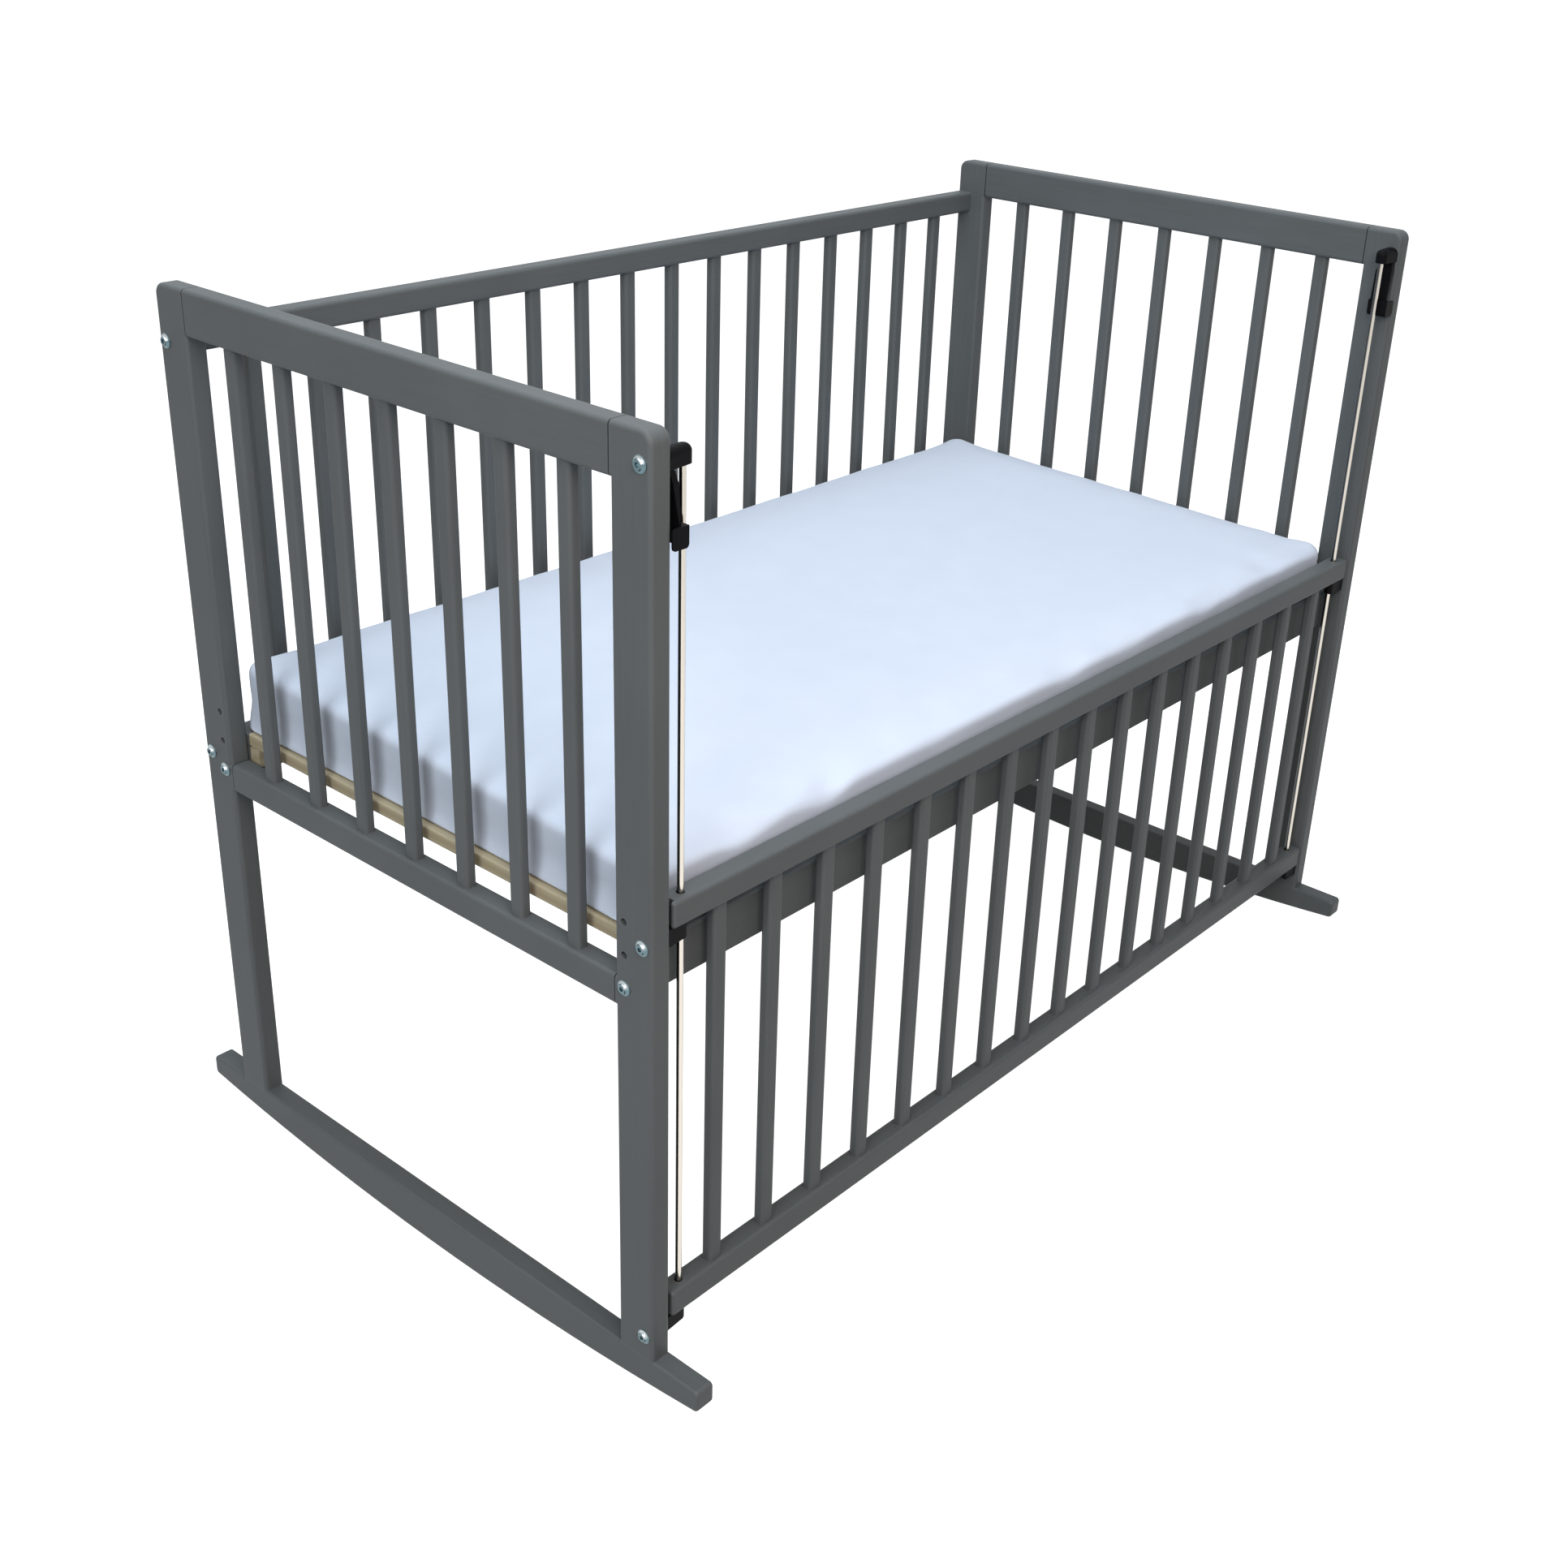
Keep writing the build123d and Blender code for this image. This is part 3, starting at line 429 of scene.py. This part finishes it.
# Mattress: a foam block in a slightly slack white cotton cover. The cover is sewn from an
# upper and a lower half, so that one seam runs round the middle of its side. Its side waves
# softly, and its top dents in soft folds along the open side. It lies loose on the slats.
MATTRESS_LOW, MATTRESS_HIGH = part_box("mattress")
CORNER = 0.022
UPPER_EDGE = 0.009
LOWER_EDGE = 0.004
EDGE_TURNS = (0.4, 0.8, 1.2, math.pi / 2)
DRAWN_IN = 0.004
CROWN = 0.002
CROWN_INSET = 0.11
START_SMALLER = 0.002
UNDERSIDE_GAP = 0.0005
CORNER_CELLS = 4
LONG_CELLS = 92
SHORT_CELLS = 42
BAND_ROWS = 6
ROW_SLACK = (1, 1, 1, 1, 1, 0.9, 0.7, 0.5, 0.5, 0.6, 0.5, 0.4, 0.2)
WAVE_PITCH_ALONG = 13
WAVE_PITCH_UP = 9
BROAD_WAVE = 0.0016
FINE_WAVE = 0.0009
FINE_WAVE_PITCH = 2.7
UPRIGHT_WAVE = 0.0010
UPRIGHT_WAVE_START = (5, 3, 1)
TOP_LEAN = 0.0125
TOP_LIMIT = 0.0118
SWELLING_FRAMES = 20
HELD_BELOW = 0.002
PUFF_LIMIT = 0.005
PUFF_FALL = 0.7
PUFF_FALL_REACH = 0.2
SEAM_ROW = 7
SEAM_DEPTH = 0.0008
PUCKER_DEPTH = 0.024
PUCKER_REACH = 0.045
PUCKER_FROM_END = 0.3
PUCKER_ELSEWHERE = 0.35
PUCKER_SHARE = 0.08
FOLD_PITCH = (15, 3)
FOLD_PITCH_INWARDS = (-12, 20)
FOLD_START = 3.1
mattress_middle = (MATTRESS_LOW + MATTRESS_HIGH) / 2
half_x = (MATTRESS_HIGH.x - MATTRESS_LOW.x) / 2 - START_SMALLER
half_y = (MATTRESS_HIGH.y - MATTRESS_LOW.y) / 2 - START_SMALLER
underside = MATTRESS_LOW.z + UNDERSIDE_GAP
shoulder = MATTRESS_HIGH.z - CROWN - START_SMALLER


def between(low, value, high):
    return max(low, min(high, value))


def eased(share):
    return math.sin(math.pi / 2 * between(0.0, share, 1.0))


def grid_lines(half, cells):
    edge_lines = [CORNER * step / CORNER_CELLS for step in range(CORNER_CELLS)]
    inner = half - CORNER
    lines = [-half + line for line in edge_lines]
    lines += [-inner + 2 * inner * step / cells for step in range(cells + 1)]
    return lines + [half - line for line in reversed(edge_lines)]


def inside_corners(x, y):
    inner_x, inner_y = half_x - CORNER, half_y - CORNER
    return between(-inner_x, x, inner_x), between(-inner_y, y, inner_y)


def plan_place(x, y, inset):
    middle_x, middle_y = inside_corners(x, y)
    u = (x - middle_x) / CORNER
    v = (y - middle_y) / CORNER
    round_u = u * math.sqrt(1 - v * v / 2)
    round_v = v * math.sqrt(1 - u * u / 2)
    keep = CORNER - inset
    pull_x = DRAWN_IN * (1 - (y / half_y) ** 2) * round_u
    pull_y = DRAWN_IN * (1 - (x / half_x) ** 2) * round_v
    return middle_x + round_u * keep - pull_x, middle_y + round_v * keep - pull_y


def crown_height(x, y):
    return CROWN * eased(min(half_x - abs(x), half_y - abs(y)) / CROWN_INSET)


xs = grid_lines(half_x, LONG_CELLS)
ys = grid_lines(half_y, SHORT_CELLS)
cover = bmesh.new()
lattices = []
for level, inset, crowned in ((shoulder, UPPER_EDGE, True), (underside, LOWER_EDGE, False)):
    lattice = {}
    for i, x in enumerate(xs):
        for j, y in enumerate(ys):
            px, py = plan_place(x, y, inset)
            pz = level + (crown_height(x, y) if crowned else 0.0)
            lattice[i, j] = cover.verts.new((px, py, pz))
    for i in range(len(xs) - 1):
        for j in range(len(ys) - 1):
            corners = [lattice[i, j], lattice[i + 1, j], lattice[i + 1, j + 1], lattice[i, j + 1]]
            cover.faces.new(corners if crowned else corners[::-1])
    lattices.append(lattice)
last_i, last_j = len(xs) - 1, len(ys) - 1
walk = [(i, 0) for i in range(last_i)] + [(last_i, j) for j in range(last_j)]
walk += [(i, last_j) for i in range(last_i, 0, -1)] + [(0, j) for j in range(last_j, 0, -1)]
profile = [
    (UPPER_EDGE * (1 - math.sin(turn)), shoulder - UPPER_EDGE * (1 - math.cos(turn)))
    for turn in EDGE_TURNS
]
band_height = shoulder - UPPER_EDGE - underside - LOWER_EDGE
profile += [
    (0.0, shoulder - UPPER_EDGE - band_height * step / BAND_ROWS) for step in range(1, BAND_ROWS)
]
profile += [
    (LOWER_EDGE * (1 - math.sin(turn)), underside + LOWER_EDGE * (1 - math.cos(turn)))
    for turn in reversed(EDGE_TURNS)
]
loops = [[lattices[0][key] for key in walk]]
for inset, level in profile:
    loop = []
    for i, j in walk:
        px, py = plan_place(xs[i], ys[j], inset)
        loop.append(cover.verts.new((px, py, level)))
    loops.append(loop)
loops.append([lattices[1][key] for key in walk])
for upper, lower in zip(loops, loops[1:]):
    for k in range(len(walk)):
        n = (k + 1) % len(walk)
        cover.faces.new((upper[k], lower[k], lower[n], upper[n]))
bmesh.ops.recalc_face_normals(cover, faces=cover.faces)
cover.verts.index_update()
seam_indices = [vert.index for vert in loops[SEAM_ROW]]
for loop, slack in zip(loops[1:-1], ROW_SLACK):
    for vert in loop:
        x, y, z = vert.co
        if abs(y) > half_y - CORNER:
            out = Vector((0, math.copysign(1, y), 0))
        else:
            out = Vector((math.copysign(1, x), 0, 0))
        at = Vector((x * WAVE_PITCH_ALONG, y * WAVE_PITCH_ALONG, z * WAVE_PITCH_UP))
        broad = out * slack * BROAD_WAVE * noise.noise(at)
        fine = out * slack * FINE_WAVE * noise.noise(at * FINE_WAVE_PITCH)
        vert.co += broad + fine
        vert.co.z += slack * UPRIGHT_WAVE * noise.noise(at + Vector(UPRIGHT_WAVE_START))
for vert in cover.verts:
    up_share = min(1.0, (vert.co.z - underside) / (shoulder - underside))
    vert.co.z += TOP_LEAN * up_share * (vert.co.y + half_y) / (2 * half_y)
cover_mesh = settled(cover, "cot_mattress")
cover_mesh.transform(Matrix.Translation((mattress_middle.x, mattress_middle.y, 0.0)))
cot_mattress = into_scene("cot_mattress", cover_mesh)

rest_places = [vert.co.copy() for vert in cover_mesh.vertices]
held = cot_mattress.vertex_groups.new(name="held_by_foam")
for vert in cover_mesh.vertices:
    if vert.co.z < underside + HELD_BELOW:
        held.add([vert.index], 1.0, "REPLACE")
cloth = cot_mattress.modifiers.new("cover_cloth", "CLOTH")
cloth.settings.quality = 6
cloth.settings.mass = 0.2
cloth.settings.tension_stiffness = 12
cloth.settings.compression_stiffness = 12
cloth.settings.shear_stiffness = 5
cloth.settings.bending_stiffness = 0.3
cloth.settings.shrink_min = -0.012
cloth.settings.use_pressure = True
cloth.settings.uniform_pressure_force = 4.0
cloth.settings.vertex_group_mass = "held_by_foam"
cloth.settings.effector_weights.gravity = 0.0
cloth.point_cache.frame_start = 1
cloth.point_cache.frame_end = SWELLING_FRAMES
for step in range(1, SWELLING_FRAMES + 1):
    bpy.context.scene.frame_set(step)
swollen = cot_mattress.evaluated_get(bpy.context.evaluated_depsgraph_get())
puffed = [vert.co.copy() for vert in swollen.data.vertices]
cot_mattress.modifiers.remove(cloth)
bpy.context.scene.frame_set(1)
for vert, start, swelled in zip(cover_mesh.vertices, rest_places, puffed):
    move = swelled - start
    from_side = min(half_x - abs(start.x), half_y - abs(start.y))
    limit = PUFF_LIMIT * (1 - PUFF_FALL * eased(from_side / PUFF_FALL_REACH))
    if move.length > limit:
        move *= limit / move.length
    vert.co = start + move
cot_mattress.vertex_groups.clear()

for index in seam_indices:
    vert = cover_mesh.vertices[index]
    side = Vector((vert.co.x - mattress_middle.x, vert.co.y - mattress_middle.y, 0.0))
    inner_x, inner_y = inside_corners(side.x, side.y)
    away = Vector((side.x - inner_x, side.y - inner_y, 0.0))
    vert.co -= away.normalized() * SEAM_DEPTH
for vert in cover_mesh.vertices:
    x = vert.co.x
    inwards = vert.co.y - MATTRESS_LOW.y
    if vert.co.z > shoulder - 2 * UPPER_EDGE and inwards < 3 * PUCKER_REACH:
        from_end = (x - MATTRESS_LOW.x) / PUCKER_FROM_END
        slack = PUCKER_ELSEWHERE + (1 - PUCKER_ELSEWHERE) * math.exp(-from_end * from_end)
        fade = math.exp(-((inwards / PUCKER_REACH) ** 2))
        u, v = (x * a + inwards * b for a, b in zip(FOLD_PITCH, FOLD_PITCH_INWARDS))
        fold = noise.noise(Vector((u, v, FOLD_START)))
        vert.co.z -= PUCKER_DEPTH * slack * fade * max(0.0, PUCKER_SHARE + fold)
for vert in cover_mesh.vertices:
    vert.co.x = between(MATTRESS_LOW.x, vert.co.x, MATTRESS_HIGH.x)
    vert.co.y = between(MATTRESS_LOW.y, vert.co.y, MATTRESS_HIGH.y)
    vert.co.z = between(MATTRESS_LOW.z, vert.co.z, MATTRESS_HIGH.z + TOP_LIMIT)
smooth_cover = cot_mattress.modifiers.new("cover_smoothing", "SUBSURF")
smooth_cover.levels = 1
smooth_cover.render_levels = 1
for face in cover_mesh.polygons:
    face.use_smooth = True

# The cotton is painted darker in the hollows of its soft creases: a painted shade.
COTTON_SHADED = (0.54, 0.61, 0.725, 1.0)
COTTON_WHITE = (0.585, 0.655, 0.77, 1.0)
COTTON_ROUGHNESS = 0.92
COTTON_SHEEN = 0.15
COTTON_SHEEN_ROUGHNESS = 0.5
COTTON_RELIEF_DEPTH = 0.0012
COTTON_RELIEF_STRENGTH = 0.35
THREAD_SCALE = 420.0
THREAD_WANDER = 0.6
UPRIGHT_THREADS = 0.5
CREASE_SCALE = 22.0
CREASE_IN_RELIEF = 0.9
cotton, cotton_tree, cotton_shader = new_finish("white_cotton_cover")
cotton_place = object_place(cotton_tree)
weave_feeds = {"Vector": cotton_place, "Scale": THREAD_SCALE, "Distortion": THREAD_WANDER}
lengthways, crossways, upright = (
    add_node(
        cotton_tree, "ShaderNodeTexWave", weave_feeds, wave_type="BANDS", bands_direction=axis
    ).outputs["Fac"]
    for axis in ("X", "Y", "Z")
)
weave = worked_out(cotton_tree, "MULTIPLY", lengthways, crossways)
side_weave = worked_out(cotton_tree, "MULTIPLY", upright, UPRIGHT_THREADS)
weave = worked_out(cotton_tree, "ADD", side_weave, weave)
crease = clouds_at(cotton_tree, cotton_place, CREASE_SCALE, detail=3.0)
cotton_relief = two_heights(cotton_tree, CREASE_IN_RELIEF, weave, crease)
cotton_finish = {
    "Base Color": two_tones(cotton_tree, crease, COTTON_SHADED, COTTON_WHITE),
    "Roughness": COTTON_ROUGHNESS,
    "Sheen Weight": COTTON_SHEEN,
    "Sheen Roughness": COTTON_SHEEN_ROUGHNESS,
    "Normal": raised(cotton_tree, cotton_relief, COTTON_RELIEF_DEPTH, COTTON_RELIEF_STRENGTH),
}
feed(cotton_tree, cotton_shader, cotton_finish)
cover_mesh.materials.append(cotton)
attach(cot_mattress, "loose_mattress")
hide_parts("mattress")

# Seam stitches: short lock stitches of white thread, 4 mm apart, along the one seam round the
# side of the mattress cover.
STITCH_PITCH = 0.004
STITCH_LENGTH = 0.0028
THREAD_RADIUS = 0.00028
THREAD_FACETS = 5
THREAD_SHADED = (0.58, 0.66, 0.80, 1.0)
THREAD_WHITE = (0.70, 0.78, 0.90, 1.0)
THREAD_ROUGHNESS = 0.8
TWIST_SCALE = 1800.0
thread_cotton, thread_tree, thread_shader = new_finish("white_seam_thread")
twist = clouds_at(thread_tree, object_place(thread_tree), TWIST_SCALE, detail=1.0)
thread_finish = {
    "Base Color": two_tones(thread_tree, twist, THREAD_SHADED, THREAD_WHITE),
    "Roughness": THREAD_ROUGHNESS,
}
feed(thread_tree, thread_shader, thread_finish)
seam_places = [cover_mesh.vertices[index].co.copy() for index in seam_indices]
seam_steps = [(k, (k + 1) % len(seam_places)) for k in range(len(seam_places))]
seam_path = bpy.data.meshes.new("seam_path")
seam_path.from_pydata(seam_places, seam_steps, [])
seam_guide = into_scene("seam_guide", seam_path)
stitch_sizes = {"Pitch": STITCH_PITCH, "Thread": THREAD_RADIUS, "Stitch": STITCH_LENGTH}
size_keys = {}
stitching = bpy.data.node_groups.new("stitching", "GeometryNodeTree")
stitching.interface.new_socket("Geometry", in_out="INPUT", socket_type="NodeSocketGeometry")
for size_name in stitch_sizes:
    size_keys[size_name] = stitching.interface.new_socket(
        size_name, in_out="INPUT", socket_type="NodeSocketFloat"
    ).identifier
stitching.interface.new_socket("Geometry", in_out="OUTPUT", socket_type="NodeSocketGeometry")
seam_in = add_node(stitching, "NodeGroupInput").outputs
seam_line = add_node(stitching, "GeometryNodeMeshToCurve", {"Mesh": seam_in["Geometry"]})
spaced = add_node(
    stitching,
    "GeometryNodeCurveToPoints",
    {"Curve": seam_line.outputs["Curve"], "Length": seam_in["Pitch"]},
    mode="LENGTH",
)
thread = add_node(
    stitching,
    "GeometryNodeMeshCylinder",
    {"Vertices": THREAD_FACETS, "Radius": seam_in["Thread"], "Depth": seam_in["Stitch"]},
)
turned = add_node(
    stitching,
    "FunctionNodeAlignRotationToVector",
    {"Vector": spaced.outputs["Tangent"]},
    axis="Z",
)
placed = add_node(
    stitching,
    "GeometryNodeInstanceOnPoints",
    {
        "Points": spaced.outputs["Points"],
        "Instance": thread.outputs["Mesh"],
        "Rotation": turned.outputs["Rotation"],
    },
)
real = add_node(
    stitching, "GeometryNodeRealizeInstances", {"Geometry": placed.outputs["Instances"]}
)
dressed = add_node(
    stitching,
    "GeometryNodeSetMaterial",
    {"Geometry": real.outputs["Geometry"], "Material": thread_cotton},
)
add_node(stitching, "NodeGroupOutput", {"Geometry": dressed.outputs["Geometry"]})
stitcher = seam_guide.modifiers.new("stitching", "NODES")
stitcher.node_group = stitching
for size_name, size in stitch_sizes.items():
    stitcher[size_keys[size_name]] = size
stitch_mesh = as_modified(seam_guide)
stitch_mesh.name = "mattress_stitches"
mattress_stitches = into_scene("mattress_stitches", stitch_mesh)
seam_guide.modifiers.remove(stitcher)
bpy.data.objects.remove(seam_guide)
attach(mattress_stitches, "loose_mattress")

# Room: a plain pale floor and white surroundings, lit by a large soft lamp above and one each
# from the open side and the left end.
FLOOR_REACH = 30
FLOOR_ROUGHNESS = 0.9
FLOOR_GLOW = 0.97
FLOOR_TONE = (0.14, 0.14, 0.14, 1.0)
FLOOR_TONE_SEEN = (0.50, 0.50, 0.50, 1.0)
WHITE = (1.0, 1.0, 1.0, 1.0)
SKY_TONE = (0.95, 0.98, 1.0, 1.0)
SKY_LEVEL = (0.18, 1.0)


def seen_directly(tree):
    rays = add_node(tree, "ShaderNodeLightPath").outputs
    camera_or_glossy = worked_out(tree, "MAXIMUM", rays["Is Camera Ray"], rays["Is Glossy Ray"])
    return worked_out(tree, "MAXIMUM", camera_or_glossy, rays["Is Transmission Ray"])


floor_corners = [
    (FLOOR_REACH * x, FLOOR_REACH * y, 0) for x, y in ((-1, -1), (1, -1), (1, 1), (-1, 1))
]
floor_mesh = bpy.data.meshes.new("studio_floor")
floor_mesh.from_pydata(floor_corners, [], [(0, 1, 2, 3)])
studio_floor = into_scene("studio_floor", floor_mesh)
floor_finish, floor_tree, floor_shader = new_finish("pale_floor")
floor_seen = seen_directly(floor_tree)
floor_look = {
    "Base Color": two_tones(floor_tree, floor_seen, FLOOR_TONE, FLOOR_TONE_SEEN),
    "Roughness": FLOOR_ROUGHNESS,
    "Emission Color": WHITE,
    "Emission Strength": worked_out(floor_tree, "MULTIPLY", floor_seen, FLOOR_GLOW),
}
feed(floor_tree, floor_shader, floor_look)
floor_mesh.materials.append(floor_finish)

world = bpy.data.worlds.new("studio")
bpy.context.scene.world = world
world.use_nodes = True
sky = world.node_tree
sky_seen = seen_directly(sky)
sky_look = {
    "Color": two_tones(sky, sky_seen, SKY_TONE, WHITE),
    "Strength": spread(sky, sky_seen, SKY_LEVEL),
}
feed(sky, sky.nodes["Background"], sky_look)

for lamp_name, place, aim, size, power, tint in (
    ("lamp_above", (-0.2, 0.1, 3.2), (0.0, 0.0, 0.4), 2.4, 70.0, (0.85, 0.93, 1.0)),
    ("lamp_open_side", (-1.2, -1.8, 2.0), (-0.2, 0.0, 0.4), 1.2, 34.0, (1.0, 0.86, 0.78)),
    ("lamp_left_end", (-3.1, -1.0, 2.0), (-0.3, 0.0, 0.5), 1.6, 50.0, (0.96, 0.98, 1.0)),
):
    lamp_data = bpy.data.lights.new(lamp_name, "AREA")
    lamp_data.shape = "SQUARE"
    lamp_data.size = size
    lamp_data.energy = power
    lamp_data.color = tint
    lamp = into_scene(lamp_name, lamp_data)
    lamp.location = place
    lamp.rotation_euler = (Vector(aim) - Vector(place)).to_track_quat("-Z", "Y").to_euler()
bpy.context.scene.view_settings.view_transform = "Standard"

# Camera: stands where the photograph was taken, off the corner of the left end and the open
# side, above the cot. Its place, turn and lens were solved from the cot's own edges in the
# photograph.
CAMERA_PLACE = (-1.55575, -1.27912, 1.31901)
CAMERA_TURN_DEGREES = (64.4827, -2.2370, -49.3108)
CAMERA_LENS = 43.682
CAMERA_SENSOR = 36.0
CAMERA_SHIFT = (-0.03085, -0.02660)
CAMERA_REACH = 100.0
camera_data = bpy.data.cameras.new("photo_camera")
camera_data.sensor_width = CAMERA_SENSOR
camera_data.lens = CAMERA_LENS
camera_data.shift_x, camera_data.shift_y = CAMERA_SHIFT
camera_data.clip_end = CAMERA_REACH
photo_camera = into_scene("photo_camera", camera_data)
photo_camera.location = CAMERA_PLACE
photo_camera.rotation_euler = [math.radians(turn) for turn in CAMERA_TURN_DEGREES]
bpy.context.scene.camera = photo_camera
